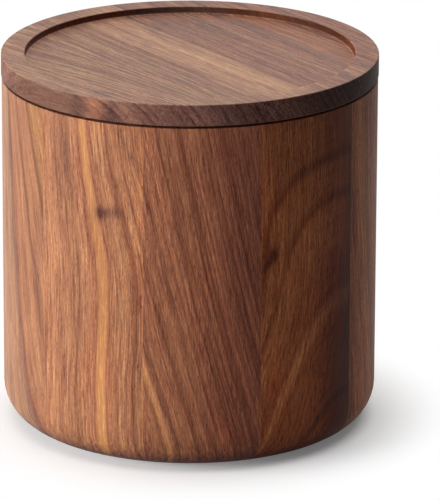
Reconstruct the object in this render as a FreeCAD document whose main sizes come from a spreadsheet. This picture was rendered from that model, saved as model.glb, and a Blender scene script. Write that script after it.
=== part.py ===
# A lidded canister of solid walnut.
# Ten mitred staves are glued into a ring and turned. A base panel of glued strips drops in from the mouth
# and is glued on a ledge at the foot of the staves. The lid is turned from a second panel of glued strips,
# with a plug below that drops into the mouth and a shallow tray above.
# Millimetres, +Z up. The origin is the centre of the foot, on the surface that the canister stands on.
import FreeCAD, Part
import enum
import math
import os
import Sketcher

# Driving dimensions: name, value, meaning. Lengths in millimetres, angles in degrees about +Z from +X.
SIZES = [
    ("outer_diameter", 120.0, "outside of the stave ring"),
    ("body_height", 113.6, "foot to the top of the rim"),
    ("wall_thickness", 9.0, "stave, from the bore to the outside"),
    ("stave_count", 10, "staves in the ring"),
    ("first_joint_angle", -140.0, "first glue joint between staves"),
    ("foot_round", 12.0, "radius of the rounded lower edge"),
    ("ledge_width", 9.0, "ledge that carries the base, inwards from the bore"),
    ("ledge_height", 4.0, "foot to the top of the ledge"),
    ("edge_break", 0.4, "chamfer on the arrises"),
    ("base_thickness", 7.0, "base panel"),
    ("base_clearance", 0.3, "room for the base to swell, at its edge"),
    ("base_grain_angle", 35.0, "direction of the base strips"),
    ("base_strip_count", 5, "strips in the base panel"),
    ("lid_thickness", 7.0, "lid at its edge"),
    ("lid_overhang", 0.2, "lid past the outside of the staves"),
    ("lid_grain_angle", -55.0, "direction of the lid strips"),
    ("lid_strip_count", 5, "strips in the lid panel"),
    ("lid_panel_shift", -3.0, "middle of the lid panel off the turning axis, across its strips"),
    ("shadow_gap", 0.7, "open line between rim and lid"),
    ("shadow_gap_depth", 3.0, "open line, inwards from the outside of the staves"),
    ("plug_depth", 5.0, "plug below the rim"),
    ("plug_clearance", 0.5, "plug to bore, all round"),
    ("plug_chamfer", 1.0, "lead-in on the lower edge of the plug"),
    ("tray_rim_width", 7.6, "flat rim round the tray"),
    ("tray_depth", 2.4, "tray below its rim"),
    ("tray_corner", 1.0, "radius between the tray's wall and floor"),
    ("turning_allowance", 1.8, "glued panel past its turned edge and faces"),
]

# Expressions shared by the pieces, so that what fits together takes its size from the same cells.
OUTER = "(Sizes.outer_diameter / 2)"
BORE = f"({OUTER} - Sizes.wall_thickness)"
LEDGE = f"({BORE} - Sizes.ledge_width)"
RIM = "Sizes.body_height"
BREAK = "Sizes.edge_break"
STAVE_ANGLE = "(360 / Sizes.stave_count)"
BASE_RADIUS = f"({BORE} - Sizes.base_clearance)"
BASE_LOW = "Sizes.ledge_height"
BASE_TOP = f"({BASE_LOW} + Sizes.base_thickness)"
LID_RADIUS = f"({OUTER} + Sizes.lid_overhang)"
LID_EDGE = f"({RIM} + Sizes.shadow_gap)"
LID_TOP = f"({LID_EDGE} + Sizes.lid_thickness)"
SEAT = f"({OUTER} - Sizes.shadow_gap_depth)"
PLUG = f"({BORE} - Sizes.plug_clearance)"
PLUG_LOW = f"({RIM} - Sizes.plug_depth)"
TRAY = f"({LID_RADIUS} - Sizes.tray_rim_width)"
TRAY_FLOOR = f"({LID_TOP} - Sizes.tray_depth)"

UP = FreeCAD.Vector(0, 0, 1)


class Line(enum.IntEnum):
    """The axes of a sketch, as constraints name them."""

    X_AXIS = -1
    Y_AXIS = -2


class End(enum.IntEnum):
    """The ends of a segment, as constraints name them."""

    FIRST = 1
    LAST = 2


ORIGIN = (Line.X_AXIS, End.FIRST)


def make_sheet(doc):
    """The spreadsheet of driving dimensions, one alias to a row."""
    sheet = doc.addObject("Spreadsheet::Sheet", "Sizes")
    for row, (name, value, meaning) in enumerate(SIZES, start=1):
        sheet.set(f"A{row}", name)
        sheet.set(f"B{row}", str(value))
        sheet.setAlias(f"B{row}", name)
        sheet.set(f"C{row}", meaning)
    doc.recompute()
    return sheet


def pin_coordinate(sketch, point, axis, expression, value):
    """Fix one coordinate of a segment's end, on the axis itself where it is zero."""
    if expression == "0":
        across = Line.Y_AXIS if axis == "X" else Line.X_AXIS
        sketch.addConstraint(Sketcher.Constraint("PointOnObject", *point, across))
        return
    distance = Sketcher.Constraint(f"Distance{axis}", *ORIGIN, *point, value)
    sketch.setExpression(f"Constraints[{sketch.addConstraint(distance)}]", expression)


def arc_between(start, end, radius, side):
    """The shorter arc from start to end, with its centre to the left or right of the way."""
    way = end - start
    aside = FreeCAD.Vector(-way.y, way.x, 0).normalize()
    if side == "right":
        aside = -aside
    middle = (start + end) / 2
    centre = middle + aside * math.sqrt(radius**2 - (way.Length / 2) ** 2)
    crown = centre + (middle - centre).normalize() * radius
    return Part.Arc(start, crown, end)


def draw_outline(sheet, body, steps):
    """A closed profile in the XZ plane. A step is (x, z) for a straight run to that point, or
    (x, z, radius, side) for an arc to it that turns to that side. All but the side are expressions."""
    sketch = body.newObject("Sketcher::SketchObject", f"{body.Name}_profile")
    plane = next(f for f in body.Origin.OriginFeatures if f.Role == "XZ_Plane")
    sketch.AttachmentSupport = [(plane, "")]
    sketch.MapMode = "FlatFace"
    corners = []
    for x, z, *_ in steps:
        corners.append(FreeCAD.Vector(float(sheet.evalExpression(x)), float(sheet.evalExpression(z)), 0))
    entries, exits = [], []
    for number, step in enumerate(steps):
        start, end = corners[number - 1], corners[number]
        turns_right = False
        curve = Part.LineSegment(start, end)
        if len(step) > 2:
            turns_right = step[3] == "right"
            curve = arc_between(start, end, float(sheet.evalExpression(step[2])), step[3])
        segment = sketch.addGeometry(curve, False)
        entries.append((segment, End.LAST if turns_right else End.FIRST))
        exits.append((segment, End.FIRST if turns_right else End.LAST))
    for number, step in enumerate(steps):
        sketch.addConstraint(Sketcher.Constraint("Coincident", *exits[number - 1], *entries[number]))
        pin_coordinate(sketch, exits[number], "X", step[0], corners[number].x)
        pin_coordinate(sketch, exits[number], "Y", step[1], corners[number].y)
        if len(step) > 2:
            radius = Sketcher.Constraint("Radius", number, float(sheet.evalExpression(step[2])))
            sketch.setExpression(f"Constraints[{sketch.addConstraint(radius)}]", step[2])
    return sketch


def turn(doc, sheet, label, steps, angle):
    """A body turned about +Z from a profile, through an angle given as an expression."""
    body = doc.addObject("PartDesign::Body", label)
    body.Label = label
    sketch = draw_outline(sheet, body, steps)
    turned = body.newObject("PartDesign::Revolution", f"{label}_turned")
    turned.Profile = sketch
    turned.ReferenceAxis = (sketch, ["V_Axis"])
    turned.setExpression("Angle", angle)
    return body


def face_about_z(piece, angle):
    """Turn a piece about +Z by an angle given as an expression. A rotation keeps its axis only with an
    angle, so it gets one here, which the expression then replaces."""
    some_angle = 1
    piece.Placement = FreeCAD.Placement(FreeCAD.Vector(), FreeCAD.Rotation(UP, some_angle))
    piece.setExpression("Placement.Rotation.Angle", angle)


# The stave ring

def stave_profile():
    """Foot, rounded lower edge, outside, rim, bore and the ledge for the base."""
    return [
        (LEDGE, "0"),
        (f"{OUTER} - Sizes.foot_round", "0"),
        (OUTER, "Sizes.foot_round", "Sizes.foot_round", "left"),
        (OUTER, f"{RIM} - {BREAK}"),
        (f"{OUTER} - {BREAK}", RIM),
        (f"{BORE} + {BREAK}", RIM),
        (BORE, f"{RIM} - {BREAK}"),
        (BORE, BASE_LOW),
        (LEDGE, BASE_LOW),
    ]


def make_staves(doc, sheet):
    """One body to a stave, each turned through its own share of the circle."""
    staves = []
    for number in range(int(sheet.stave_count)):
        stave = turn(doc, sheet, f"stave_{number + 1:02d}", stave_profile(), STAVE_ANGLE)
        face_about_z(stave, f"Sizes.first_joint_angle + {number} * {STAVE_ANGLE}")
        staves.append(stave)
    return staves


# The panels of glued strips

def base_profile():
    """A plain disc with its upper edge broken."""
    return [
        ("0", BASE_LOW),
        (BASE_RADIUS, BASE_LOW),
        (BASE_RADIUS, f"{BASE_TOP} - {BREAK}"),
        (f"{BASE_RADIUS} - {BREAK}", BASE_TOP),
        ("0", BASE_TOP),
    ]


def lid_profile():
    """Plug, seat on the rim, shadow gap, edge, rim of the tray and the tray itself."""
    return [
        ("0", PLUG_LOW),
        (f"{PLUG} - Sizes.plug_chamfer", PLUG_LOW),
        (PLUG, f"{PLUG_LOW} + Sizes.plug_chamfer"),
        (PLUG, RIM),
        (SEAT, RIM),
        (SEAT, LID_EDGE),
        (f"{LID_RADIUS} - {BREAK}", LID_EDGE),
        (LID_RADIUS, f"{LID_EDGE} + {BREAK}"),
        (LID_RADIUS, f"{LID_TOP} - {BREAK}"),
        (f"{LID_RADIUS} - {BREAK}", LID_TOP),
        (f"{TRAY} + {BREAK}", LID_TOP),
        (TRAY, f"{LID_TOP} - {BREAK}"),
        (TRAY, f"{TRAY_FLOOR} + Sizes.tray_corner"),
        (f"{TRAY} - Sizes.tray_corner", TRAY_FLOOR, "Sizes.tray_corner", "right"),
        ("0", TRAY_FLOOR),
    ]


def joint_lines(sheet, radius, shift, count):
    """Expressions for the edges of a panel's strips, from one side of the panel to the other."""
    strip = f"(2 * ({radius} + abs({shift}) + Sizes.turning_allowance) / {count})"
    number_of_strips = int(sheet.evalExpression(count))
    return [f"({shift} + ({edge} - {count} / 2) * {strip})" for edge in range(number_of_strips + 1)]


def make_strips(doc, blank, names, angle, lines, reach, low, high):
    """Cut a turned panel into its strips: each is the panel's share of one sawn strip."""
    strips = []
    for number, (near, far) in enumerate(zip(lines, lines[1:]), start=1):
        sawn = doc.addObject("Part::Box", f"sawn_{names}_{number}")
        sawn.setExpression("Length", f"2 * {reach}")
        sawn.setExpression("Width", f"{far} - {near}")
        sawn.setExpression("Height", f"{high} - {low}")
        sawn.setExpression("Placement.Base.x", f"-{reach}")
        sawn.setExpression("Placement.Base.y", near)
        sawn.setExpression("Placement.Base.z", low)
        strip = doc.addObject("Part::Common", f"{names}_{number}")
        strip.Label = f"{names}_{number}"
        strip.Base = blank
        strip.Tool = sawn
        face_about_z(strip, angle)
        strips.append(strip)
    return strips


def make_panel(doc, sheet, names, profile, radius, low, high, shift):
    """A turned panel and its strips. The glued panel stands past the turned one by the turning allowance."""
    blank = turn(doc, sheet, f"{names}_panel", profile, "360")
    lines = joint_lines(sheet, radius, shift, f"Sizes.{names}_strip_count")
    strips = make_strips(
        doc, blank, f"{names}_strip", f"Sizes.{names}_grain_angle", lines,
        f"({radius} + Sizes.turning_allowance)",
        f"({low} - Sizes.turning_allowance)",
        f"({high} + Sizes.turning_allowance)",
    )
    return blank, strips


# Checks and files

SAME_VOLUME = 1e-6


def check_document(doc, pieces, panels):
    """Stop if anything failed, or if the strips of a panel don't add up to the panel."""
    for thing in doc.Objects:
        if "Invalid" in thing.State or "Error" in thing.State:
            raise RuntimeError(f"{thing.Label} failed: {thing.State}")
    for piece in pieces:
        shape = piece.Shape
        if shape.isNull() or not shape.isValid() or len(shape.Solids) != 1:
            raise RuntimeError(f"{piece.Label} is not one valid solid")
    for blank, strips in panels:
        whole = blank.Shape.Volume
        missing = whole - sum(strip.Shape.Volume for strip in strips)
        if abs(missing) > SAME_VOLUME * whole:
            raise RuntimeError(f"the strips of {blank.Label} miss {missing:.3f} cubic millimetres of it")


def main():
    """Build the document and write one STEP file to a piece."""
    doc = FreeCAD.newDocument("lidded_canister")
    sheet = make_sheet(doc)
    staves = make_staves(doc, sheet)
    base_panel, base_strips = make_panel(
        doc, sheet, "base", base_profile(), BASE_RADIUS, BASE_LOW, BASE_TOP, "0"
    )
    lid_panel, lid_strips = make_panel(
        doc, sheet, "lid", lid_profile(), LID_RADIUS, PLUG_LOW, LID_TOP, "Sizes.lid_panel_shift"
    )
    doc.recompute()
    pieces = staves + base_strips + lid_strips
    check_document(doc, pieces, [(base_panel, base_strips), (lid_panel, lid_strips)])
    os.makedirs("parts", exist_ok=True)
    for piece in pieces:
        piece.Shape.exportStep(os.path.join("parts", f"{piece.Label}.step"))
        box = piece.Shape.BoundBox
        print(f"{piece.Label}: {piece.Shape.Volume / 1000:.2f} cm3, top {box.ZMax:.2f}, foot {box.ZMin:.2f}")


main()
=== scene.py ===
"""Looks of a coopered walnut canister with a lift-off lid.

Laid out as an add-on and run as a script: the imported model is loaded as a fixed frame, and each stave and
strip is turned in its place, gets its own figured walnut, and stands on a plain stage.
"""

import math
from dataclasses import dataclass, replace
from functools import partialmethod

import bpy
import numpy as np
from bpy.props import FloatProperty, FloatVectorProperty, IntProperty, PointerProperty
from bpy.types import Operator, Panel, PropertyGroup
from mathutils import Matrix, Vector


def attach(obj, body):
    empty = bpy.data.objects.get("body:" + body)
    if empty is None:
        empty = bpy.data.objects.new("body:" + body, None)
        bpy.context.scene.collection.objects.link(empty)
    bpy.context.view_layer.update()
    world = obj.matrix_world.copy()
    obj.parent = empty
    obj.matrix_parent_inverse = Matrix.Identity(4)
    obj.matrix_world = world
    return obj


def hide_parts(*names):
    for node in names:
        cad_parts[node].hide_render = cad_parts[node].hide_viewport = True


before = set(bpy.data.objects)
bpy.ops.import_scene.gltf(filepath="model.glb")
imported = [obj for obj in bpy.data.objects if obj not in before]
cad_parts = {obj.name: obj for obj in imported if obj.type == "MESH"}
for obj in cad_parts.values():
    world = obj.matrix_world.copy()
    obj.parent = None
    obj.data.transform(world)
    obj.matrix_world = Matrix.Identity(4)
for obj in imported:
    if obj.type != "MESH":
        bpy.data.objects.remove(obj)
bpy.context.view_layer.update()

bl_info = {
    "name": "Walnut Canister",
    "version": (1, 0, 0),
    "blender": (4, 5, 0),
    "location": "View3D > Sidebar > Canister",
    "description": "Turns the staves, base and lid of a walnut canister and sets a plain stage",
    "category": "Add Mesh",
}

MM = 0.001
NEAR = 0.00001

# Facets of rounded edges, what counts as a sharp edge, and how far normals rise on upright and steep faces
FOOT_ARC = 10
EDGE_ARC = 5
SHARP_ANGLE = math.radians(32)
UPRIGHT_RISE = 0.001
STEEP_RISE = 0.5

# How far a sawing block reaches, what it takes beyond the edge of a panel, and the start of a panel's boards
SAW_REACH = 1.0
SAW_SPARE = 0.01
PANEL_START = 60.0

# Sizes read from the frame


def nodes_named(start):
    """The CAD nodes whose names start like this, in order."""
    return sorted(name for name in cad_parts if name.startswith(start))


def corners_of(names):
    """Every corner of these CAD nodes, one row each."""
    return np.array([v.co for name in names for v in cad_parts[name].data.vertices])


def middle_angle(name):
    """Angle about the axis that a CAD node faces, midway between its two ends."""
    corners = corners_of([name])
    rough = math.atan2(corners[:, 1].mean(), corners[:, 0].mean())
    turned = np.arctan2(corners[:, 1], corners[:, 0]) - rough
    turned = (turned + math.pi) % math.tau - math.pi
    return rough + float(turned.min() + turned.max()) / 2


def radius_and_height(names):
    """Distance from the turning axis, and height, of every corner of these CAD nodes."""
    corners = corners_of(names)
    return np.hypot(corners[:, 0], corners[:, 1]), corners[:, 2]


STAVES = nodes_named("stave_")
BASE_STRIPS = nodes_named("base_strip_")
LID_STRIPS = nodes_named("lid_strip_")

stave_radius, stave_height = radius_and_height(STAVES)
OUTER = stave_radius.max()
RIM = stave_height.max()
EDGE = RIM - stave_height[stave_radius > OUTER - NEAR].max()
FOOT_ROUND = OUTER - stave_radius[stave_height < NEAR].max()
LEDGE = stave_radius.min()
LEDGE_TOP = stave_height[stave_radius < LEDGE + NEAR].max()
BORE = stave_radius[stave_height > RIM / 2].min()

base_radius, base_height = radius_and_height(BASE_STRIPS)
BASE = base_radius.max()
BASE_LOW = base_height.min()
BASE_TOP = base_height.max()

lid_radius, lid_height = radius_and_height(LID_STRIPS)
LID = lid_radius.max()
LID_TOP = lid_height.max()
LID_LOW = lid_height[lid_radius > LID - 2 * EDGE].min()
PLUG_LOW = lid_height.min()
PLUG = lid_radius[lid_height < RIM - NEAR].max()
PLUG_ROUND = PLUG - lid_radius[lid_height < PLUG_LOW + NEAR].max()
SEAT = lid_radius[abs(lid_height - RIM) < NEAR].max()
TRAY = lid_radius[lid_height > LID_TOP - NEAR].min() - EDGE
TRAY_FLOOR = lid_height[(lid_height > LID_LOW + NEAR) & (lid_radius < TRAY)].min()
TRAY_ROUND = TRAY - lid_radius[abs(lid_height - TRAY_FLOOR) < NEAR].max()


def setting(kind, **limits):
    """A maker of settings of one kind, each with its name, description and default."""

    def make(name, description, default):
        return kind(name=name, description=description, default=default, **limits)

    return make


size = setting(FloatProperty, unit="LENGTH", min=0.0, precision=5)
angle = setting(FloatProperty, subtype="ANGLE")
power = setting(FloatProperty, unit="POWER", min=0.0)
number = setting(FloatProperty, min=0.0)
count = setting(IntProperty, min=4)
colour = setting(FloatVectorProperty, subtype="COLOR", min=0.0, max=2.0)


def sizes_of(settings):
    """The values of a group of settings, by the names that a user sees."""
    properties = settings.bl_rna.properties
    return {properties[key].name: getattr(settings, key) for key in settings.__annotations__}


class StaveSettings(PropertyGroup):
    """Sizes of the ring of staves."""

    outer_radius: size("Outer Radius", "Radius of the turned outside", OUTER)
    bore_radius: size("Bore Radius", "Radius of the inside wall", BORE)
    rim_height: size("Rim Height", "Height of the rim above the floor", RIM)
    foot_round: size("Foot Round", "Radius of the rounded lower edge", FOOT_ROUND)
    ledge_radius: size("Ledge Radius", "Inner radius of the ledge that carries the base", LEDGE)
    ledge_height: size("Ledge Height", "Height of that ledge", LEDGE_TOP)
    edge_break: size("Edge Break", "Radius of the softened edges", EDGE)
    steps: count("Steps", "Facets round one stave", 24)


class BaseSettings(PropertyGroup):
    """Sizes of the base panel."""

    radius: size("Radius", "Radius of the base panel", BASE)
    low: size("Underside", "Height of its underside", BASE_LOW)
    top: size("Top", "Height of its upper face", BASE_TOP)
    grain: angle("Grain", "Direction of its strips, from the X axis", math.radians(35.0))
    steps: count("Steps", "Facets round the panel", 160)


class LidSettings(PropertyGroup):
    """Sizes of the lid."""

    radius: size("Radius", "Radius of the lid's edge", LID)
    low: size("Underside", "Height of the overhanging underside", LID_LOW)
    top: size("Top", "Height of the rim of the tray", LID_TOP)
    seat_radius: size("Seat Radius", "Outer radius of the face that sits on the rim", SEAT)
    seat_height: size("Seat Height", "Height of that face", RIM)
    plug_radius: size("Plug Radius", "Radius of the plug in the mouth", PLUG)
    plug_low: size("Plug Underside", "Height of the plug's underside", PLUG_LOW)
    plug_round: size("Plug Round", "Softening of the plug's lower edge", PLUG_ROUND)
    tray_radius: size("Tray Radius", "Radius of the tray in the top", TRAY)
    tray_floor: size("Tray Floor", "Height of the tray's floor", TRAY_FLOOR)
    tray_round: size("Tray Round", "Radius of the tray's inner corner", TRAY_ROUND)
    edge_break: size("Edge Break", "Radius of the softened edges", EDGE)
    grain: angle("Grain", "Direction of its strips, from the X axis", math.radians(-55.0))
    steps: count("Steps", "Facets round the lid", 240)


class FinishSettings(PropertyGroup):
    """Colours of the oiled walnut."""

    tan: colour("Tan", "Pale outer wood", (0.41, 0.195, 0.105))
    gold: colour("Gold", "Golden streaks", (0.57, 0.245, 0.095))
    russet: colour("Russet", "Warm heartwood", (0.48, 0.195, 0.095))
    brown: colour("Brown", "Plain heartwood", (0.43, 0.158, 0.08))
    olive: colour("Olive", "Golden brown heartwood", (0.44, 0.147, 0.06))
    auburn: colour("Auburn", "Deep red heartwood", (0.36, 0.105, 0.045))
    umber: colour("Umber", "Dark heartwood", (0.22, 0.075, 0.038))
    smoke: colour("Smoke", "Grey shaded bands", (0.25, 0.121, 0.083))
    plum: colour("Plum", "Purple brown heartwood of the lid", (0.29, 0.114, 0.063))


class StageSettings(PropertyGroup):
    """Camera, light and floor."""

    camera_distance: size("Camera Distance", "From the camera to the middle of the object", 1.7744)
    camera_rise: angle("Camera Rise", "Angle of the camera above the horizon", math.radians(17.99))
    camera_roll: angle("Camera Roll", "Tilt of the picture", math.radians(0.231))
    lens: number("Lens", "Focal length in millimetres", 397.0)
    aim_height: size("Aim Height", "Height of the point that the camera turns about", 0.060)
    key_power: power("Key", "Power of the light at the left", 22.0)
    top_power: power("Top", "Power of the light overhead", 21.0)
    fill: number("Fill", "Strength of the light from all round", 0.12)
    floor_size: size("Floor Size", "Length of a side of the floor", 12.0)
    floor_bounce: number("Bounce", "Share of light that the floor returns", 0.3)
    floor_white: number("White", "Colour of the floor as it is seen", 1.0)
    floor_haze: number("Haze", "White that lightens the shadow on the floor", 0.12)
    floor_glow: number("Glow", "More of that white on the lit side", 0.31)
    floor_soften: number("Soften", "How much weaker the shadow is on the lit side", 0.35)


class CanisterSettings(PropertyGroup):
    """Everything that a user may change."""

    staves: PointerProperty(type=StaveSettings)
    base: PointerProperty(type=BaseSettings)
    lid: PointerProperty(type=LidSettings)
    finish: PointerProperty(type=FinishSettings)
    stage: PointerProperty(type=StageSettings)


# Wiring of nodes


def plug_in(tree, socket, value):
    """Give a socket a plain value, or the output or wire that feeds it."""
    if isinstance(value, Wire):
        value = value.socket
    if isinstance(value, bpy.types.NodeSocket):
        tree.links.new(value, socket)
    else:
        socket.default_value = value


def feed(tree, node, inputs):
    """Give the inputs of a node their values or wires."""
    for key, value in inputs.items():
        plug_in(tree, node.inputs[key], value)


def add(tree, kind, settings=None, inputs=None):
    """Add a node with its settings and inputs."""
    node = tree.nodes.new(kind)
    for key, value in (settings or {}).items():
        setattr(node, key, value)
    feed(tree, node, inputs or {})
    return node


class Wire:
    """A number carried along a node tree, so that sums of them can be written as sums."""

    def __init__(self, tree, socket):
        self.tree = tree
        self.socket = socket

    def math(self, operation, *others):
        """This number and others through one Math node."""
        node = add(self.tree, "ShaderNodeMath", {"operation": operation}, dict(enumerate((self, *others))))
        return Wire(self.tree, node.outputs[0])

    __add__ = partialmethod(math, "ADD")
    __sub__ = partialmethod(math, "SUBTRACT")
    __mul__ = partialmethod(math, "MULTIPLY")
    __truediv__ = partialmethod(math, "DIVIDE")
    __pow__ = partialmethod(math, "POWER")

    def step(self, low, high, out_low=0.0, out_high=1.0):
        """Ease from one value to another as this number goes from low to high."""
        inputs = {"Value": self, "From Min": low, "From Max": high, "To Min": out_low, "To Max": out_high}
        node = add(self.tree, "ShaderNodeMapRange", {"interpolation_type": "SMOOTHSTEP"}, inputs)
        return Wire(self.tree, node.outputs["Result"])


def sockets(tree, kind, labels, way="INPUT"):
    """Give a tree named inputs or outputs of one kind."""
    for label in labels:
        tree.interface.new_socket(label, in_out=way, socket_type="NodeSocket" + kind)


def given_to(tree):
    """The inputs of a tree, by their names."""
    source = tree.nodes.new("NodeGroupInput")
    return {socket.name: Wire(tree, socket) for socket in source.outputs if socket.name}


def combine(tree, x, y, z):
    """Three numbers as one vector."""
    return add(tree, "ShaderNodeCombineXYZ", inputs={"X": x, "Y": y, "Z": z}).outputs[0]


def separate(tree, vector):
    """The three numbers in a vector."""
    node = add(tree, "ShaderNodeSeparateXYZ", inputs={"Vector": vector})
    return [Wire(tree, socket) for socket in node.outputs]


def noise_at(tree, x, y, z, detail, rough=0.5):
    """Noise from -0.5 to 0.5 at a place given by three numbers."""
    inputs = {"Vector": combine(tree, x, y, z), "Scale": 1.0, "Detail": detail, "Roughness": rough}
    return Wire(tree, add(tree, "ShaderNodeTexNoise", inputs=inputs).outputs["Fac"]) - 0.5


# Turned shapes


def shape(tree, kind, inputs=None, **settings):
    """What a new geometry node hands out."""
    return add(tree, "GeometryNode" + kind, settings, inputs).outputs[0]


def start_tree(name, sizes):
    """A Geometry Nodes tree with a named input for each size, a step count and a material."""
    tree = bpy.data.node_groups.new(name, "GeometryNodeTree")
    tree.is_modifier = True
    sockets(tree, "Float", sizes)
    sockets(tree, "Int", ["Steps"])
    sockets(tree, "Material", ["Material"])
    sockets(tree, "Geometry", ["Geometry"], "OUTPUT")
    return tree, given_to(tree)


def by_corner(tree, kind, values):
    """The value that belongs to each corner of a profile, by its number."""
    switch = add(tree, "GeometryNodeIndexSwitch", {"data_type": kind})
    while len(switch.index_switch_items) < len(values):
        switch.index_switch_items.new()
    plug_in(tree, switch.inputs["Index"], shape(tree, "InputIndex"))
    for place, value in enumerate(values):
        plug_in(tree, switch.inputs[place + 1], value)
    return switch.outputs[0]


def profile(tree, corners, closed):
    """A line through corners given as radius, height and rounding, with its corners rounded."""
    line = shape(tree, "MeshLine", {"Count": len(corners)})
    curve = shape(tree, "MeshToCurve", {"Mesh": line})
    ring = shape(tree, "SetSplineCyclic", {"Geometry": curve, "Cyclic": closed})
    spots = [combine(tree, radius, height, 0.0) for radius, height, _ in corners]
    drawn = shape(tree, "SetPosition", {"Geometry": ring, "Position": by_corner(tree, "VECTOR", spots)})
    rounding = by_corner(tree, "FLOAT", [rounded for _, _, rounded in corners])
    arcs = by_corner(tree, "INT", [FOOT_ARC] + [EDGE_ARC] * (len(corners) - 1))
    inputs = {"Curve": drawn, "Count": arcs, "Radius": rounding, "Limit Radius": True}
    return shape(tree, "FilletCurve", inputs, mode="POLY")


def on_plane(tree, radius, height, turn):
    """A point of the profile, carried round the axis by an angle."""
    return combine(tree, radius * turn.math("COSINE"), radius * turn.math("SINE"), height)


def turned_wall(tree, curve, steps, start, sweep, closed):
    """The surface that a profile sweeps when it is turned about the axis."""
    size_node = add(tree, "GeometryNodeAttributeDomainSize", {"component": "CURVE"}, {"Geometry": curve})
    points = Wire(tree, size_node.outputs["Point Count"])
    columns = steps + 1
    rows = points + 1 if closed else points
    grid = shape(tree, "MeshGrid", {"Vertices X": rows, "Vertices Y": columns})
    index = Wire(tree, shape(tree, "InputIndex"))
    row = ((index + 0.5) / columns).math("FLOOR")
    column = index - row * columns
    inputs = {"Geometry": curve, "Value": shape(tree, "InputPosition"), "Index": row.math("MODULO", points)}
    radius, height, _ = separate(tree, shape(tree, "SampleIndex", inputs, data_type="FLOAT_VECTOR"))
    place = on_plane(tree, radius, height, column * sweep / steps + start)
    wall = shape(tree, "SetPosition", {"Geometry": grid, "Position": place})
    return shape(tree, "FlipFaces", {"Mesh": wall})


def sawn_end(tree, curve, turn):
    """The flat section of a profile, standing at an angle about the axis."""
    section = shape(tree, "FillCurve", {"Curve": curve}, mode="NGONS")
    radius, height, _ = separate(tree, shape(tree, "InputPosition"))
    place = on_plane(tree, radius, height, turn)
    return shape(tree, "SetPosition", {"Geometry": section, "Position": place})


def join(tree, *parts):
    """Parts as one geometry."""
    node = tree.nodes.new("GeometryNodeJoinGeometry")
    for part in parts:
        tree.links.new(part, node.inputs[0])
    return node.outputs[0]


def close_tree(tree, geometry, material):
    """Close the seams, mark the sharp edges, set the material and hand the piece out."""
    merged = shape(tree, "MergeByDistance", {"Geometry": geometry, "Distance": NEAR / 10})
    smooth = shape(tree, "SetShadeSmooth", {"Geometry": merged, "Shade Smooth": True})
    edge = Wire(tree, shape(tree, "InputMeshEdgeAngle"))
    inputs = {"Geometry": smooth, "Shade Smooth": edge.math("LESS_THAN", SHARP_ANGLE)}
    edges = shape(tree, "SetShadeSmooth", inputs, domain="EDGE")
    real = shape(tree, "RealizeInstances", {"Geometry": edges})
    finished = shape(tree, "SetMaterial", {"Geometry": real, "Material": material})
    add(tree, "NodeGroupOutput", inputs={"Geometry": finished})


def stave_tree():
    """One stave: its section turned through its share of the ring, with a sawn face at each joint."""
    labels = ["Outer Radius", "Bore Radius", "Rim Height", "Foot Round", "Ledge Radius", "Ledge Height"]
    labels += ["Edge Break", "Start Angle", "Sweep"]
    tree, given = start_tree("Turned stave", labels)
    outer, bore, rim, foot, ledge, ledge_top, edge, start, sweep = map(given.get, labels)
    corners = [
        (outer, 0.0, foot),
        (outer, rim, edge),
        (bore, rim, edge),
        (bore, ledge_top, 0.0),
        (ledge, ledge_top, 0.0),
        (ledge, 0.0, 0.0),
    ]
    curve = profile(tree, corners, True)
    wall = turned_wall(tree, curve, given["Steps"], start, sweep, True)
    near_end = sawn_end(tree, curve, start)
    far_end = shape(tree, "FlipFaces", {"Mesh": sawn_end(tree, curve, start + sweep)})
    close_tree(tree, join(tree, wall, near_end, far_end), given["Material"])
    return tree


def strip_tree(name, labels, corners_from):
    """One strip of a turned panel: the whole panel, and of it the share of one sawn strip."""
    cuts = ["Strip From", "Strip To", "Across Angle", "Reach"]
    tree, given = start_tree(name, labels + cuts)
    near, far, turn, reach = map(given.get, cuts)
    curve = profile(tree, corners_from(given), False)
    wall = turned_wall(tree, curve, given["Steps"], 0.0, math.tau, False)
    panel = shape(tree, "MergeByDistance", {"Geometry": wall, "Distance": NEAR / 10})
    middle = (near + far) * 0.5
    inputs = {
        "Geometry": shape(tree, "MeshCube", {"Size": combine(tree, far - near, reach, reach)}),
        "Translation": combine(tree, middle * turn.math("COSINE"), middle * turn.math("SINE"), 0.0),
        "Rotation": combine(tree, 0.0, 0.0, turn),
    }
    sawn = shape(tree, "Transform", inputs)
    common = add(tree, "GeometryNodeMeshBoolean", {"operation": "INTERSECT", "solver": "EXACT"})
    for part in (panel, sawn):
        tree.links.new(part, common.inputs["Mesh 2"])
    close_tree(tree, common.outputs["Mesh"], given["Material"])
    return tree


def base_corners(given):
    """Section of the base panel, from the axis out and back."""
    radius, low, top, edge = map(given.get, ("Radius", "Underside", "Top", "Edge Break"))
    return [(0.0, low, 0.0), (radius, low, edge), (radius, top, edge), (0.0, top, 0.0)]


def lid_corners(given):
    """Section of the lid: plug, seat, open line above the rim, edge, rim of the tray and the tray."""
    edge = given["Edge Break"]
    radius = given["Radius"]
    return [
        (0.0, given["Plug Underside"], 0.0),
        (given["Plug Radius"], given["Plug Underside"], given["Plug Round"]),
        (given["Plug Radius"], given["Seat Height"], 0.0),
        (given["Seat Radius"], given["Seat Height"], 0.0),
        (given["Seat Radius"], given["Underside"], 0.0),
        (radius, given["Underside"], edge),
        (radius, given["Top"], edge),
        (given["Tray Radius"], given["Top"], edge),
        (given["Tray Radius"], given["Tray Floor"], given["Tray Round"]),
        (0.0, given["Tray Floor"], 0.0),
    ]


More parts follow.
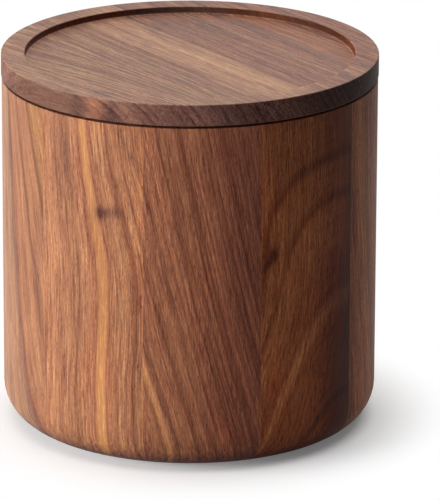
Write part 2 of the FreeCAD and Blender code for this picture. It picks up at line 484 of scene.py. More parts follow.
def shade_round(mesh):
    """Turn the corner normals of turned faces to their radius, so that boards side by side shade as one."""
    normals = [corner.vector.copy() for corner in mesh.corner_normals]
    radii = [math.hypot(v.co.x, v.co.y) for v in mesh.vertices]
    for face in mesh.polygons:
        spread = [radii[v] for v in face.vertices]
        if abs(face.normal.z) < UPRIGHT_RISE and max(spread) - min(spread) > NEAR:
            continue
        for loop in face.loop_indices:
            vertex = mesh.loops[loop].vertex_index
            if radii[vertex] < MM:
                continue
            out = Vector((mesh.vertices[vertex].co.x, mesh.vertices[vertex].co.y, 0.0)) / radii[vertex]
            rise = max(-1.0, min(1.0, normals[loop].z))
            side = math.copysign(math.sqrt(1.0 - rise * rise), normals[loop].dot(out))
            normals[loop] = out * side + Vector((0.0, 0.0, rise))
    mesh.normals_split_custom_set(normals)


def put(name, data):
    """A new object in the scene that holds this data."""
    thing = bpy.data.objects.new(name, data)
    bpy.context.scene.collection.objects.link(thing)
    return thing


def make_piece(name, tree, values, material):
    """Run a tree once and keep what it makes as a plain mesh."""
    piece = put(name, bpy.data.meshes.new(name + "_blank"))
    modifier = piece.modifiers.new(tree.name, "NODES")
    modifier.node_group = tree
    for item in tree.interface.items_tree:
        if item.in_out == "INPUT":
            modifier[item.identifier] = material if item.name == "Material" else values[item.name]
    weighted = piece.modifiers.new("Weighted normals", "WEIGHTED_NORMAL")
    weighted.keep_sharp = True
    graph = bpy.context.evaluated_depsgraph_get()
    mesh = bpy.data.meshes.new_from_object(piece.evaluated_get(graph), depsgraph=graph)
    if not mesh.polygons:
        raise RuntimeError(f"{name} came out empty")
    blank = piece.data
    piece.modifiers.clear()
    piece.data = mesh
    mesh.name = name
    bpy.data.meshes.remove(blank)
    shade_round(mesh)
    return piece


# Walnut


# Name of the shared group, what is left of red, green and blue in the darkest wood and the deepest painted
# shade, and the fraying of lines
STRUCTURE = "Walnut structure"
DARKEST = (0.27, 0.22, 0.33)
FRAYING = 0.6


def walnut_group():
    """Fine structure of walnut on a board: growth lines, fibres, pores and a soft unevenness of tone."""
    tree = bpy.data.node_groups.new(STRUCTURE, "ShaderNodeTree")
    labels = ["Figure", "Streak", "Across", "Depth", "Along", "Shadow", "Glow", "Flush"]
    labels += ["End Grain", "Busy", "Seed"]
    levels = ["Line Spacing", "Line Depth", "Fibre", "Pores"]
    sockets(tree, "Float", labels + levels)
    sockets(tree, "Color", ["Tone"])
    sockets(tree, "Color", ["Color"], "OUTPUT")
    sockets(tree, "Float", ["Roughness", "Height"], "OUTPUT")
    given = given_to(tree)
    figure, streak, across, depth, along, shadow, glow, flush, end_grain, busy, seed = map(given.get, labels)
    spacing, line_depth, fibre_depth, pore_depth = map(given.get, levels)

    def noise(x, y, z, detail, rough=0.5):
        """Noise that differs from board to board."""
        return noise_at(tree, x + seed * 7.31, y + seed * 3.17, z + seed * 5.77, detail, rough)

    # Waves per millimetre: many across the grain, few along it
    feather = noise(across * 1.3, depth * 0.5, along * 0.05, 2.0, 0.6)
    feathered = figure + feather * FRAYING
    streak = streak + feather * FRAYING
    uneven = noise(figure / spacing * 0.45, depth * 0.02, along * 0.006, 2.0)
    ring = feathered / spacing + uneven * 1.5
    number = ring.math("FLOOR")
    part = ring - number
    chance = add(tree, "ShaderNodeTexWhiteNoise", {"noise_dimensions": "1D"}, {"W": number + seed * 13.7})
    chance = Wire(tree, chance.outputs["Value"])
    patch = noise(figure * 0.12, depth * 0.05, along * 0.014, 2.0).step(-0.16, 0.16, 0.4, 1.2)
    line = part.step(0.35, 0.86) * part.step(0.9, 1.0, 1.0, 0.0) * (chance * 0.7 + 0.3)
    crossing = noise(feathered * 0.4, depth * 0.2, along * 0.006, 1.0)
    thin = crossing.math("ABSOLUTE").step(0.0, 0.03, 1.0, 0.0)
    line = (line + thin * 0.4) * patch * line_depth * busy

    broad = noise(streak * 0.5, depth * 0.25, along * 0.012, 3.0, 0.6)
    medium = noise(streak * 1.2, depth * 0.4, along * 0.025, 2.0, 0.55)
    fine = noise(streak * 2.6, depth * 0.7, along * 0.07, 1.0, 0.6)
    rough = noise(across * 2.6 + 17.0, depth * 1.2, along * 0.8, 1.0, 0.6)
    fibre = (broad * 1.6 + (medium * 2.1 + fine * 3.4 + rough * 1.8) * busy) * fibre_depth

    cells = noise(across * 2.7 + streak * 0.4, depth * 1.2, along * 0.2, 1.0)
    short = noise(across * 3.4 + 31.0, depth * 1.5, along * 0.6, 1.0)
    early = part.step(0.0, 0.75, 1.0, 0.45)
    pores = (cells.step(0.06, 0.16) + short.step(0.07, 0.18) * 0.9) * early * pore_depth * busy
    glints = cells.step(-0.07, -0.18) * pore_depth * 0.6

    blotch = noise(across * 0.05, depth * 0.05, along * 0.022, 2.0) * 0.4
    dark = (line + pores + shadow + end_grain).math("MINIMUM", 1.0)
    bright = (fibre + blotch + glints + 1.0).math("MAXIMUM", 0.15)
    green = bright**1.35 * (glow * 0.65 + 1.0) * (flush * -0.25 + 1.0)
    blue = bright**1.2 * (glow * 0.4 + 1.0) * (flush * -0.2 + 1.0)
    hue = combine(tree, bright * (glow + 1.0), green, blue)
    lit = add(tree, "ShaderNodeVectorMath", {"operation": "MULTIPLY"}, {0: given["Tone"], 1: hue})
    tint = add(tree, "ShaderNodeVectorMath", {"operation": "MULTIPLY"}, {0: lit.outputs[0], 1: DARKEST})
    inputs = {0: dark, 6: lit.outputs[0], 7: tint.outputs[0]}
    inputs = {
        "Color": add(tree, "ShaderNodeMix", {"data_type": "RGBA"}, inputs).outputs[2],
        "Roughness": blotch * 0.35 + pores * 0.2 + 0.52,
        "Height": fibre * 0.4 - pores - line * 0.3,
    }
    add(tree, "NodeGroupOutput", inputs=inputs)
    return tree


@dataclass
class Board:
    """How one board of walnut is figured, with lengths in millimetres.

    Bands are runs of one colour across the grain: each place has a share of its brightness and may have a
    share of the fine structure. Drift is how far the grain has run sideways at a height, by the shares in
    spread at the left and right edge. An arch has a middle, rise, power and base. Shadows, glows and flushes
    are soft dark, light and red spots: place, height, half width, half height and strength. Most are marks in
    the wood, but some shadows are painted shade, some glows painted light, and a flush can paint the redder
    tone of a shaded side. Lines have a distance and a depth.
    """

    bands: tuple
    drift: tuple = ((0, 0), (120, 0))
    spread: tuple = (1.0, 1.0)
    arch: tuple = ()
    shadows: tuple = ()
    glows: tuple = ()
    flushes: tuple = ()
    lines: tuple = (3.0, 0.3)
    fibre: float = 0.35
    pores: float = 0.3
    tilt: float = 0.25
    wander: float = 1.2
    busy: float = 1.0
    light: float = 1.0
    gloss: float = 0.14
    seed: float = 0.0


# In millimetres: reach of bands and drift, half a stave's face, where arches grow flat, and to what share
BAND_REACH = 60.0
DRIFT_LENGTH = 125.0
DRIFT_REACH = 40.0
STAVE_HALF = 18.5
ARCH_FULL = 45.0
ARCH_FLAT = 100.0
FLAT_SHARE = 0.25

# Noises that move the lines, as waves per millimetre across and along, detail and reach
SWAY = (0.06, 0.018, 2.0, 2.0)
RIPPLE = (0.3, 0.11, 1.0, 0.3)

# Glue lines, end grain and the relief of the surface
GLUE_FADE = (0.05, 0.2)
GLUE_GLOW = 0.3
END_FACING = (0.35, 0.95)
END_DARK = 0.55
BUMP_STRENGTH = 0.35
BUMP_DEPTH = 0.12 * MM


def band_tones(tree, board, figure):
    """Colours of a board across its grain, at given places along the figure, and how busy it is there."""
    ramp = add(tree, "ShaderNodeValToRGB", inputs={"Fac": figure / (2 * BAND_REACH) + 0.5})
    stops = ramp.color_ramp.elements
    while len(stops) > 1:
        stops.remove(stops[-1])
    finish = bpy.context.scene.canister.finish
    flat = [(name, *place) for name, *places in board.bands for place in places]
    for number, (name, place, share, *busy) in enumerate(flat):
        spot = place / (2 * BAND_REACH) + 0.5
        stop = stops[0] if number == 0 else stops.new(spot)
        stop.position = spot
        tone = [channel * board.light * share for channel in getattr(finish, name)]
        stop.color = [*tone, busy[0] if busy else board.busy]
    return ramp.outputs["Color"], ramp.outputs["Alpha"]


def drift_curve(tree, points, along):
    """How far the lines of a board have run sideways at each height."""
    node = add(tree, "ShaderNodeFloatCurve", inputs={"Value": along / DRIFT_LENGTH})
    curve = node.mapping.curves[0]
    ordered = sorted(points)
    while len(curve.points) < len(ordered):
        curve.points.new(0.5, 0.5)
    for point, (height, sideways) in zip(curve.points, ordered):
        point.location = (height / DRIFT_LENGTH, sideways / DRIFT_REACH)
    node.mapping.update()
    return Wire(tree, node.outputs["Value"]) * DRIFT_REACH


def spot_field(across, along, spot, before):
    """A soft spot at a place on the board, over those before it."""
    place, height, wide, tall, strength = spot
    x = (across - place) / wide
    y = (along - height) / tall
    field = ((x * x + y * y) * -1.0).math("EXPONENT") * strength
    return field if before is None else before + field


def walnut(name, board, rows, offset, joint=0.0):
    """A material for one board, on its own axes: across, into the depth and along the grain.

    A stave gives half the angle between its two joints, and gets a pale line of glue at each.
    """
    material = bpy.data.materials.new(name)
    material.use_nodes = True
    tree = material.node_tree
    shader = tree.nodes["Principled BSDF"]
    coordinates = tree.nodes.new("ShaderNodeTexCoord")
    inputs = {
        "Vector": coordinates.outputs["Object"],
        "Location": offset,
        "Rotation": Matrix(rows).to_euler(),
        "Scale": (1.0 / MM,) * 3,
    }
    across, depth, along = separate(tree, add(tree, "ShaderNodeMapping", inputs=inputs).outputs[0])

    seed = board.seed
    sway, ripple = (
        noise_at(tree, across * wide + seed, depth * wide, along * tall, detail) * (reach * board.wander)
        for wide, tall, detail, reach in (SWAY, RIPPLE)
    )
    left, right = board.spread
    share = (across + STAVE_HALF) / (2 * STAVE_HALF) * (right - left) + left
    streak = across - drift_curve(tree, board.drift, along) * share + depth * board.tilt + sway + ripple
    figure = streak
    if board.arch:
        middle, rise, power, base = board.arch
        flattening = along.step(ARCH_FULL, ARCH_FLAT, rise, rise * FLAT_SHARE)
        bend = (across * -1.0 + middle).math("ABSOLUTE") ** power * flattening
        figure = along + bend - base + depth * board.tilt + sway + ripple

    fields = {}
    for label, spots in (("Shadow", board.shadows), ("Glow", board.glows), ("Flush", board.flushes)):
        for spot in spots:
            fields[label] = spot_field(across, along, spot, fields.get(label))
    if joint:
        to_joint = (depth * -1.0 + offset[1]) * math.sin(joint) - across.math("ABSOLUTE") * math.cos(joint)
        glue = to_joint.step(*GLUE_FADE, GLUE_GLOW, 0.0)
        fields["Glow"] = fields["Glow"] + glue if "Glow" in fields else glue
    inputs = {0: coordinates.outputs["Normal"], 1: rows[2]}
    facing = add(tree, "ShaderNodeVectorMath", {"operation": "DOT_PRODUCT"}, inputs)
    end_grain = Wire(tree, facing.outputs["Value"]).math("ABSOLUTE").step(*END_FACING) * END_DARK

    tone, busy = band_tones(tree, board, figure)
    inputs = {
        "Figure": figure, "Streak": streak, "Across": across, "Depth": depth, "Along": along, "Tone": tone,
        "Line Spacing": board.lines[0], "Line Depth": board.lines[1], "Fibre": board.fibre, "Seed": seed,
        "Pores": board.pores, "Busy": busy, "End Grain": end_grain, **fields,
    }
    group = bpy.data.node_groups.get(STRUCTURE) or walnut_group()
    structure = add(tree, "ShaderNodeGroup", {"node_tree": group}, inputs)
    relief = {"Height": structure.outputs["Height"], "Strength": BUMP_STRENGTH, "Distance": BUMP_DEPTH}
    inputs = {
        "Base Color": structure.outputs["Color"],
        "Roughness": structure.outputs["Roughness"],
        "Specular IOR Level": board.gloss,
        "Normal": add(tree, "ShaderNodeBump", inputs=relief).outputs["Normal"],
    }
    feed(tree, shader, inputs)
    return material


# The five staves in front, from left to right
# Painted shade for the staves that list it: a dark band on their lowest few millimetres, where they meet the
# floor
FOOT_PAINTED_SHADE = (0, 0, 60, 4, 0.45)

FAR_LEFT = Board(
    bands=[("tan", (-44, 0.9), (-24, 1), (-13, 1.05), (-7.3, 0.95)), ("smoke", (-6.4, 1)),
           ("umber", (-5.2, 1.3)), ("russet", (-4.3, 0.85), (-1.5, 0.88), (1.9, 0.86), (2.6, 0.68),
           (3.4, 0.86), (9, 0.84)), ("umber", (9.6, 0.85), (10.2, 0.85)),
           ("gold", (10.9, 0.75), (20, 0.7))],
    drift=[(0, 10.8), (12, 9.7), (25, 8.2), (35, 7.5), (42, 6.95), (52, 6.3), (62, 5.7), (70, 4.85),
           (85, 3.55), (95, 2.5), (113, 0)], spread=(0.15, 2.25), lines=(4.0, 0.3), fibre=0.32, pores=0.22,
    wander=0.5, light=0.88, gloss=0.22,
    shadows=[(0, 62, 5, 14, 0.14), (-1, 97, 6, 14, 0.18), (9, 30, 4, 14, 0.12), FOOT_PAINTED_SHADE],
    glows=[(1, 28, 4, 16, 0.16)], seed=1.0)

LEFT = Board(
    bands=[("russet", (-30, 0.8), (-17, 0.9), (-11, 0.82), (-10, 0.84), (-9.3, 0.66), (-8.6, 0.74),
           (-8, 0.92), (-6.3, 1.02)), ("brown", (-5, 1), (-4.3, 0.9)),
           ("gold", (-3.4, 1.02, 0.3), (-1.7, 1.02, 0.3)), ("brown", (-0.9, 1)),
           ("russet", (1, 0.94), (5, 1.05)), ("umber", (5.5, 1.55), (6.1, 1.55)),
           ("russet", (6.8, 1), (9.4, 1.06), (25, 1.06))],
    drift=[(0, 7.6), (12, 6.8), (20, 6.7), (30, 6.6), (40, 7.0), (50, 7.2), (60, 7.1), (70, 6.5),
           (78, 5.4), (85, 4.3), (90, 3.6), (100, 1.8), (113, 0.5)], spread=(0.25, 1.6), lines=(2.6, 0.34),
    fibre=0.38, pores=0.42, wander=0.4,
    shadows=[(4.5, 83.8, 1.9, 2.4, 0.85), (10.6, 85.4, 1.8, 2.4, 0.45), (7.6, 84.6, 3.6, 1.6, 0.4),
             (-10, 78.8, 6, 1.8, 0.14), (-11, 98, 4, 14, 0.22), (-8, 100, 1.6, 14, 0.24),
             (4.5, 100, 2.5, 10, 0.12), (18, 28, 3, 24, 0.24), (12.8, 79, 1.3, 6, 0.25),
             (6.9, 106, 0.9, 4, 0.22), (8.3, 99, 0.9, 4, 0.22), (9.9, 93, 0.9, 3.5, 0.22),
             (11.3, 111.3, 1.1, 2.2, 0.3), (13, 107.3, 1.1, 2.2, 0.3), (14.9, 103.4, 1.1, 2.2, 0.3),
             (16.8, 100.2, 1.1, 2.2, 0.3), FOOT_PAINTED_SHADE],
    glows=[(17.2, 78, 1.6, 24, 0.2), (0, 30, 4, 12, 0.12), (8, 30, 4, 12, 0.12)], seed=2.0)

MIDDLE = Board(
    bands=[("brown", (-44, 0.95), (-36.5, 0.97)), ("gold", (-35.7, 1.1, 0.6)),
           ("russet", (-34.3, 1.42, 0.6)), ("brown", (-33.5, 0.74), (-32.7, 0.66), (-31.8, 0.97),
           (-27.3, 1.07)), ("umber", (-26.5, 1.2), (-26, 1.2)), ("brown", (-25.2, 1.02), (-22.2, 1),
           (-21.3, 0.7), (-20.5, 1), (-18.3, 1.15), (-14.8, 1.08), (-14, 0.72), (-13.2, 1), (-12.4, 0.74),
           (-11.5, 1.08), (-9.3, 1)), ("umber", (-8.2, 1.5), (-7.4, 1.5)), ("brown", (-6.3, 1.07),
           (-5.2, 1.24), (-3.8, 1.08), (-0.6, 1), (0.2, 0.8), (1.2, 1.07), (5.2, 1.07)),
           ("umber", (6.1, 1.4)), ("brown", (7, 1.02))],
    drift=[(0, 27.5), (12, 24), (30, 19), (50, 13.6), (70, 8.8), (90, 4.6), (113, 0)], lines=(2.0, 0.5),
    fibre=0.34, pores=0.46, wander=0.5,
    # The two tall spots at its right, (11, 60, ...) and (20, 60, ...), are painted shade on the side turned
    # from the light, and its flush paints the redder tone of that shaded side
    shadows=[(-14, 60, 5, 25, 0.12), (11, 60, 9, 200, 0.26), (20, 60, 6, 200, 0.2), FOOT_PAINTED_SHADE],
    glows=[(0, 60, 5, 14, 0.16), (7.5, 13, 4, 5, 0.2), (7, 30, 3, 14, 0.08)],
    flushes=[(13, 55, 12, 200, 0.5)], seed=3.0)

RIGHT = Board(
    bands=[("auburn", (-60, 0.7), (-42.5, 1)), ("umber", (-40, 0.75)),
           ("auburn", (-37.5, 1), (-22, 1), (-12.5, 1.02)), ("olive", (-9.6, 1.25), (-6.4, 1.25)),
           ("auburn", (-3.5, 1), (6, 1.05)), ("olive", (14, 1.1), (24, 1.1)), ("auburn", (26.5, 0.72)),
           ("olive", (29, 0.95), (37, 0.88)), ("auburn", (40, 0.62)), ("olive", (43.5, 0.85), (60, 0.88))],
    drift=[(0, 0), (10, 3), (35, 11), (50, 14.5), (65, 16), (113, 16)],
    arch=(STAVE_HALF, 0.0167, 2.2, 60.0), lines=(5.0, 0.22), fibre=0.34, pores=0.55, wander=1.2,
    gloss=0.05,
    # The broad spot at the top, (0, 122, 30, 30, 0.3), is painted shade: the board is darker towards its top,
    # where less light falls
    shadows=[(-14.6, 70.6, 1.5, 2.4, 1.3), (-16.3, 67.8, 1.2, 1.8, 0.8), (-17.8, 66.2, 1.2, 1.5, 0.5),
             (12, 15, 4, 2.5, 0.3), (15, 52, 1.5, 1.5, 0.4), (15, 65.5, 1.6, 1.3, 0.4),
             (18, 60, 17, 300, 0.95), (17, 20, 12, 45, 0.3), (0, 122, 30, 30, 0.3), FOOT_PAINTED_SHADE],
    glows=[(-18, 85, 3.5, 30, 0.25), (-13.5, 30, 4, 14, 0.2), (19, 38, 5, 34, -0.5),
           (-14, 84, 4, 7, 0.28), (-8, 91.5, 3.5, 4, 0.15), (-12, 63, 4, 6, 0.2), (13, 88, 4, 30, 0.25),
           (19, 85, 2, 34, -0.35)], flushes=[(16, 55, 8, 200, -0.9)], seed=4.0)

FAR_RIGHT = Board(
    bands=[("brown", (-36, 0.85), (-24, 0.9), (-17, 0.85), (-14, 0.9), (-13.2, 1.02)),
           ("gold", (-12.5, 0.78), (-11.5, 0.74)), ("brown", (-10.5, 1), (-9.7, 0.95)),
           ("umber", (-8.9, 1.15), (-8, 1.2)), ("brown", (-6.8, 0.82), (-4.3, 0.9), (-2, 0.8), (0, 0.7),
           (3, 0.85), (10, 0.8))],
    drift=[(0, 13), (20, 10), (30, 8), (45, 5.8), (52, 4.9), (62, 3.8), (75, 2.2), (85, 1.2), (95, 0.4),
           (113, 0)], lines=(2.8, 0.5), fibre=0.48, pores=0.55, wander=0.8, light=0.82, gloss=0.06,
    # The spot at the top, (0, 120, 20, 26, 0.5), is painted shade: the board is darker towards its top, where
    # less light falls
    shadows=[(0, 120, 20, 26, 0.5), (-17, 45, 2.2, 90, 0.42)], glows=[(-7, 28, 6, 20, 0.16)], seed=5.0)

# Plain boards for the staves at the back: where their bands lie, how they lean, and their lines and tone
BACK_BOARDS = [
    Board(bands=[("brown", (-50, 0.9)), ("russet", (shift - 30, 0.92)), ("brown", (shift - 17, 0.8)),
                 ("russet", (shift - 9, 1)), ("brown", (shift - 2, 0.78)), ("russet", (shift + 3, 0.95)),
                 ("brown", (shift + 15, 0.85)), ("russet", (50, 0.9))],
          drift=[(0, lean), (60, lean * 0.35), (113, 0)], lines=(spacing, 0.45), fibre=0.36, pores=0.42,
          light=light, seed=seed)
    for shift, lean, spacing, light, seed in (
        (0, 9, 2.4, 1.0, 31.0), (6, -5, 3.0, 0.76, 32.0), (-5, 4, 2.2, 0.98, 33.0), (9, 14, 2.7, 0.8, 34.0),
        (-8, -8, 3.2, 0.92, 35.0))
]
STAVE_BOARDS = [LEFT, MIDDLE, RIGHT, FAR_RIGHT, *BACK_BOARDS, FAR_LEFT]

# The strips of the lid, their outer edges, and the wall of the tray
LID_BOARD = Board(bands=(), fibre=0.85, pores=0.6, tilt=0.2, busy=0.6, light=0.78, gloss=0.45)
LID_BOARDS = [
    replace(
        LID_BOARD, drift=[(0, -8), (60, 0), (120, 8)], lines=(2.6, 1.05), seed=11.0,
        bands=[("tan", (-60, 0.95), (-58, 1.02), (-54, 1), (-50.5, 0.93)), ("plum", (-48.5, 1.2)),
               ("tan", (-46.5, 0.92), (-44, 1.07), (-42, 1.08))],
        shadows=[(-50, 84, 3, 5, 0.5), (-46, 77, 2.5, 4, 0.4)]),
    replace(
        LID_BOARD, drift=[(0, -8.8), (60, 0), (120, 8.8)], spread=(-0.23, -3.1), lines=(2.2, 1.15),
        seed=12.0,
        bands=[("plum", (-48, 1.3)), ("tan", (-45, 1.05), (-42, 1.08), (-38.5, 0.93), (-34.5, 0.83)),
               ("plum", (-30.5, 1.08)), ("tan", (-28.5, 0.83), (-26.5, 0.93), (-24, 1), (-22.5, 0.86)),
               ("plum", (-20.5, 1.08)), ("tan", (-18, 0.82), (-16, 0.9))],
        glows=[(-35, 86, 2.5, 12, 0.2), (-24, 29, 3, 14, 0.22), (-16.5, 93, 2, 14, 0.15)]),
    replace(
        LID_BOARD, drift=[(0, 1.2), (60, 0), (120, -1.5)], lines=(2.8, 0.75), fibre=0.75, seed=13.0,
        bands=[("plum", (-30, 1)), ("tan", (-16.5, 0.9), (-14.5, 0.8)), ("plum", (-12.5, 1)),
               ("tan", (-10.5, 0.85)), ("plum", (-8.5, 1.1)), ("tan", (-6.5, 1.03, 0.4), (-4, 1.09, 0.4),
               (1, 1.11, 0.4), (6.3, 1.1, 0.4), (8, 1.04, 0.5), (9.2, 0.84)), ("plum", (10, 1.1))],
        shadows=[(5, 119, 9, 5, 0.35), (-5, 1, 9, 6, 0.5)]),
    replace(
        LID_BOARD, lines=(2.2, 1.05), fibre=0.9, shadows=[(20, 22, 14, 22, 0.22)], seed=14.0,
        bands=[("plum", (9, 1.15), (13.5, 1.12), (15.5, 0.98), (17.5, 1.15), (19.5, 0.95), (25.8, 0.98)),
               ("tan", (27.5, 0.84)), ("plum", (29.3, 1.05), (31.5, 1.15), (33.5, 1.03), (35.5, 0.8))]),
    replace(
        LID_BOARD, lines=(2.3, 1.1), fibre=0.9, seed=15.0,
        bands=[("plum", (35, 0.8), (37.5, 0.82)), ("brown", (39.3, 0.8)), ("olive", (42, 0.77)),
               ("brown", (45, 0.68), (47.5, 0.7), (52, 0.68), (57, 0.75), (60, 0.8))]),
]

EDGE_BOARD = Board(bands=(), lines=(2.6, 0.5), fibre=0.45, pores=0.55, tilt=0.6, gloss=0.04)
# The outer edges of the lid, in tones set strip by strip: darker than the lid's top, and far darker on the
# strips whose edges lie on the shaded right, which is painted shade
LID_EDGES = [
    replace(
        EDGE_BOARD, drift=[(0, -8), (60, 0), (120, 8)], lines=(1.8, 0.45), fibre=0.24, pores=0.16,
        seed=16.0,
        bands=[("smoke", (-60, 0.85), (-59.9, 0.9), (-58, 1), (-55.7, 1.6), (-53, 1.25), (-49.5, 1.65),
               (-46, 1.5))],
        shadows=[(-54, 33, 10, 24, 0.5), (-56.6, 79.5, 1.6, 3, 0.3), (-51.4, 91.5, 1.6, 3, 0.3)],
        glows=[(-54.3, 86, 2, 3, 0.7)]),
    replace(
        EDGE_BOARD, lines=(2.4, 0.35), fibre=0.3, pores=0.3, seed=17.0,
        bands=[("smoke", (-44, 1.5), (-40, 1.35), (-34, 2.1), (-29, 1.45), (-24, 1.35), (-16, 1))]),
    replace(
        EDGE_BOARD, bands=[("smoke", (-16, 1.05), (-11, 1.35), (-5, 1.05), (1, 0.65), (10, 0.45))],
        seed=18.0),
    replace(EDGE_BOARD, bands=[("smoke", (10, 0.42), (14, 0.4), (20, 0.2), (36, 0.16))], seed=19.0),
    replace(EDGE_BOARD, bands=[("smoke", (36, 0.18), (60, 0.4))], seed=20.0),
]

# The wall of the tray carries painted shade: dark tones and a dark spot, (-2, 112, ...), where the wall is
# shaded, and two light spots of painted light where it is lit
TRAY_WALL = Board(
    bands=[("smoke", (-60, 0.6)), ("auburn", (-20, 0.4), (8, 0.4)),
           ("smoke", (16, 0.42), (25, 0.52), (34, 0.65)), ("umber", (41, 0.45), (60, 0.4))],
    lines=(3.0, 0.2), fibre=0.25, pores=0.1, gloss=0.04, shadows=[(-2, 112, 20, 10, 0.85)],
    glows=[(48, 84, 8, 9, 0.9), (46, 38, 6, 7, 0.4)], seed=26.0)

# The strips of the base, all alike but for their lines
BASE_BOARDS = [
    Board(bands=[("brown", (-60, 1)), ("russet", (-30, 1)), ("brown", (-10, 1)), ("russet", (12, 1)),
                 ("brown", (32, 1)), ("russet", (60, 1))],
          lines=(2.4 + 0.4 * number, 0.5), tilt=0.5, pores=0.45, seed=21.0 + number)
    for number in range(5)
]


# Operators


def dress(piece, node, body):
    """Let a finished piece stand for its CAD node and ride on that node's body."""
    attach(piece, body)
    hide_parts(node)


class CANISTER_OT_staves(Operator):
    """Turn the ring of staves and give each its own board of walnut"""

    bl_idname = "canister.staves"
    bl_label = "Make Staves"

    def execute(self, context):
        sizes = context.scene.canister.staves
        tree = stave_tree()
        sweep = math.tau / len(STAVES)
        values = {**sizes_of(sizes), "Sweep": sweep}
        for name, board in zip(STAVES, STAVE_BOARDS):
            facing = middle_angle(name)
            out = Vector((math.cos(facing), math.sin(facing), 0.0))
            along = Vector((0.0, 0.0, 1.0))
            across = along.cross(out)
            rows = (across, -out, along)
            offset = (0.0, sizes.outer_radius / MM, 0.0)
            material = walnut(name + "_walnut", board, rows, offset, sweep / 2)
            values["Start Angle"] = facing - sweep / 2
            piece = make_piece(name + "_board", tree, values, material)
            dress(piece, name, "canister")
        return {"FINISHED"}


def paint_upright(mesh, outside, inside):
    """Give the upright faces of a piece materials of their own, one away from the axis and one towards it."""
    first = len(mesh.materials)
    mesh.materials.append(outside)
    mesh.materials.append(inside)
    for face in mesh.polygons:
        if abs(face.normal.z) < STEEP_RISE:
            outward = face.normal.x * face.center.x + face.normal.y * face.center.y > 0.0
            face.material_index = first if outward else first + 1


def make_strips(context, names, sizes, corners_from, boards, edges, body, slot):
    """Make the strips of a panel, each where its CAD node lies across the panel."""
    values = {"Edge Break": context.scene.canister.staves.edge_break, **sizes_of(sizes)}
    labels = [label for label in values if label not in ("Grain", "Steps")]
    tree = strip_tree(slot + "_strip", labels, corners_from)
    along = Vector((math.cos(sizes.grain), math.sin(sizes.grain), 0.0))
    across = Vector((-along.y, along.x, 0.0))
    values["Across Angle"] = math.atan2(across.y, across.x)
    values["Reach"] = SAW_REACH
    rows = (across, Vector((0.0, 0.0, 1.0)), along)
    offset = (0.0, -sizes.top / MM, PANEL_START)
    for place, (name, board) in enumerate(zip(names, boards)):
        spots = corners_of([name]) @ np.array(across)
        values["Strip From"] = float(spots.min()) - (SAW_SPARE if name == names[0] else 0.0)
        values["Strip To"] = float(spots.max()) + (SAW_SPARE if name == names[-1] else 0.0)
        material = walnut(name + "_walnut", board, rows, offset)
        piece = make_piece(name + "_board", tree, values, material)
        if edges:
            outside = walnut(name + "_edge", edges[place], rows, offset)
            inside = walnut(name + "_wall", TRAY_WALL, rows, offset)
            paint_upright(piece.data, outside, inside)
        dress(piece, name, body)


class CANISTER_OT_base(Operator):
    """Turn the base panel of glued strips"""

    bl_idname = "canister.base"
    bl_label = "Make Base"

    def execute(self, context):
        sizes = context.scene.canister.base
        make_strips(context, BASE_STRIPS, sizes, base_corners, BASE_BOARDS, None, "canister", "base_walnut")
        return {"FINISHED"}


class CANISTER_OT_lid(Operator):
    """Turn the lid of glued strips, with its plug and tray"""

    bl_idname = "canister.lid"
    bl_label = "Make Lid"

    def execute(self, context):
        sizes = context.scene.canister.lid
        make_strips(context, LID_STRIPS, sizes, lid_corners, LID_BOARDS, LID_EDGES, "lid", "lid_walnut")
        return {"FINISHED"}


WHITE = (1.0, 1.0, 1.0, 1.0)

# In metres: where the floor's lit side begins and ends, how far from the axis its shadow fades out, where the
# lamps stand and what they face, and how far beside and below the middle the camera aims
LIT_SIDE = (0.04, -0.06)
SHADOW_FADE = (0.058, 0.087)
KEY_PLACE = (-1.26, -0.34, 0.28)
KEY_SIZE = (0.9, 0.5)
TOP_PLACE = (0.05, 0.2, 1.5)
TOP_SIZE = (1.8, 1.8)
LAMP_TARGET = (0.0, 0.0, 0.06)
AIM_BESIDE = 9.80 * MM
AIM_BELOW = 5.09 * MM


def seen(tree):
    """1 for rays from the camera, and for those that a glossy or clear surface sends on."""
    path = tree.nodes.new("ShaderNodeLightPath")
    rays = [Wire(tree, path.outputs[f"Is {kind} Ray"]) for kind in ("Camera", "Glossy", "Transmission")]
    return rays[0].math("MAXIMUM", rays[1]).math("MAXIMUM", rays[2])


def floor_material(stage):
    """Pale floor that is seen white and still takes the object's shadow."""
    material = bpy.data.materials.new("floor_white")
    material.use_nodes = True
    tree = material.node_tree
    tree.nodes.remove(tree.nodes["Principled BSDF"])
    shown = seen(tree)
    spot = add(tree, "ShaderNodeTexCoord").outputs["Object"]
    # Painted light on the floor: emitted white lightens the object's shadow, more on the lit left side, where
    # less of the lamps' light is shown; beyond a distance from the axis the floor is plain white emission, so
    # its shadow fades out
    left = separate(tree, spot)[0].step(*LIT_SIDE)
    white = (left * -stage.floor_soften + 1.0) * stage.floor_white
    shade = shown * (white - stage.floor_bounce) + stage.floor_bounce
    diffuse = add(tree, "ShaderNodeBsdfDiffuse", inputs={"Color": combine(tree, shade, shade, shade)})
    strength = shown * (left * stage.floor_glow + stage.floor_haze)
    haze = add(tree, "ShaderNodeEmission", inputs={"Strength": strength})
    lit = add(tree, "ShaderNodeAddShader", inputs={0: diffuse.outputs[0], 1: haze.outputs[0]})
    glow = add(tree, "ShaderNodeEmission", inputs={"Color": WHITE, "Strength": 1.0})
    distance = add(tree, "ShaderNodeVectorMath", {"operation": "LENGTH"}, {0: spot})
    far = Wire(tree, distance.outputs["Value"]).step(*SHADOW_FADE) * shown
    mixed = add(tree, "ShaderNodeMixShader", inputs={0: far, 1: lit.outputs[0], 2: glow.outputs[0]})
    tree.links.new(mixed.outputs[0], tree.nodes["Material Output"].inputs["Surface"])
    return material


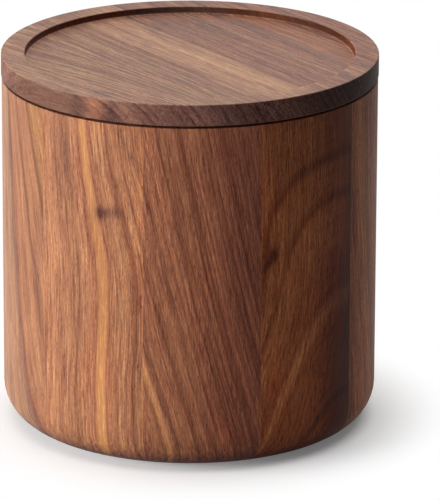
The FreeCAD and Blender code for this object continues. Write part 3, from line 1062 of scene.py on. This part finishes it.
def make_floor(stage):
    """One large level square under the object."""
    half = stage.floor_size / 2
    mesh = bpy.data.meshes.new("floor")
    corners = [(-half, -half, 0), (half, -half, 0), (half, half, 0), (-half, half, 0)]
    mesh.from_pydata(corners, [], [(0, 1, 2, 3)])
    mesh.materials.append(floor_material(stage))
    floor = put("floor", mesh)


def make_world(stage):
    """Even weak light from all round, seen as white."""
    world = bpy.data.worlds.new("studio")
    world.use_nodes = True
    tree = world.node_tree
    strength = seen(tree) * (1.0 - stage.fill) + stage.fill
    feed(tree, tree.nodes["Background"], {"Color": WHITE, "Strength": strength})
    bpy.context.scene.world = world


def soft_lamp(name, place, size_of_panel, power):
    """A large soft panel of light at a place, turned to the object."""
    light = bpy.data.lights.new(name, "AREA")
    light.shape = "RECTANGLE"
    light.size, light.size_y = size_of_panel
    light.energy = power
    lamp = put(name, light)
    lamp.location = place
    lamp.rotation_euler = (Vector(LAMP_TARGET) - Vector(place)).to_track_quat("-Z", "Y").to_euler()


def make_camera(stage):
    """The camera, aimed a little beside and below the middle of the object."""
    rise = stage.camera_rise
    middle = Vector((0.0, 0.0, stage.aim_height))
    back = Vector((0.0, -math.cos(rise), math.sin(rise)))
    up = Vector((0.0, math.sin(rise), math.cos(rise)))
    place = middle + back * stage.camera_distance
    aim = middle + Vector((AIM_BESIDE, 0.0, 0.0)) - up * AIM_BELOW
    data = bpy.data.cameras.new("camera")
    data.lens = stage.lens
    data.sensor_width = 36.0
    data.clip_end = 100.0
    camera = put("camera", data)
    turn = (aim - place).to_track_quat("-Z", "Y").to_matrix() @ Matrix.Rotation(stage.camera_roll, 3, "Z")
    camera.location = place
    camera.rotation_euler = turn.to_euler()
    bpy.context.scene.camera = camera


class CANISTER_OT_stage(Operator):
    """Set the camera, the soft lights and the pale floor"""

    bl_idname = "canister.stage"
    bl_label = "Set Stage"

    def execute(self, context):
        stage = context.scene.canister.stage
        context.scene.view_settings.view_transform = "Standard"
        make_camera(stage)
        make_floor(stage)
        make_world(stage)
        soft_lamp("key_left", KEY_PLACE, KEY_SIZE, stage.key_power)
        soft_lamp("top", TOP_PLACE, TOP_SIZE, stage.top_power)
        return {"FINISHED"}


class CANISTER_PT_panel(Panel):
    """Sizes, colours and steps of the canister"""

    bl_label = "Walnut Canister"
    bl_idname = "CANISTER_PT_panel"
    bl_space_type = "VIEW_3D"
    bl_region_type = "UI"
    bl_category = "Canister"

    def draw(self, context):
        settings = context.scene.canister
        for step in STEPS:
            self.layout.operator(step)
        for part in settings.__annotations__:
            box = self.layout.box()
            group = getattr(settings, part)
            for name in group.__annotations__:
                box.prop(group, name)


STEPS = ("canister.staves", "canister.base", "canister.lid", "canister.stage")
CLASSES = (
    *(StaveSettings, BaseSettings, LidSettings, FinishSettings, StageSettings, CanisterSettings),
    *(CANISTER_OT_staves, CANISTER_OT_base, CANISTER_OT_lid, CANISTER_OT_stage, CANISTER_PT_panel),
)


def register():
    """Register the classes and the settings."""
    for item in CLASSES:
        bpy.utils.register_class(item)
    bpy.types.Scene.canister = PointerProperty(type=CanisterSettings)


def unregister():
    """Take the settings and the classes away again."""
    del bpy.types.Scene.canister
    for item in reversed(CLASSES):
        bpy.utils.unregister_class(item)


def main():
    """Make the pieces and the stage."""
    register()
    bpy.ops.canister.staves()
    bpy.ops.canister.base()
    bpy.ops.canister.lid()
    bpy.ops.canister.stage()


if __name__ == "__main__":
    main()
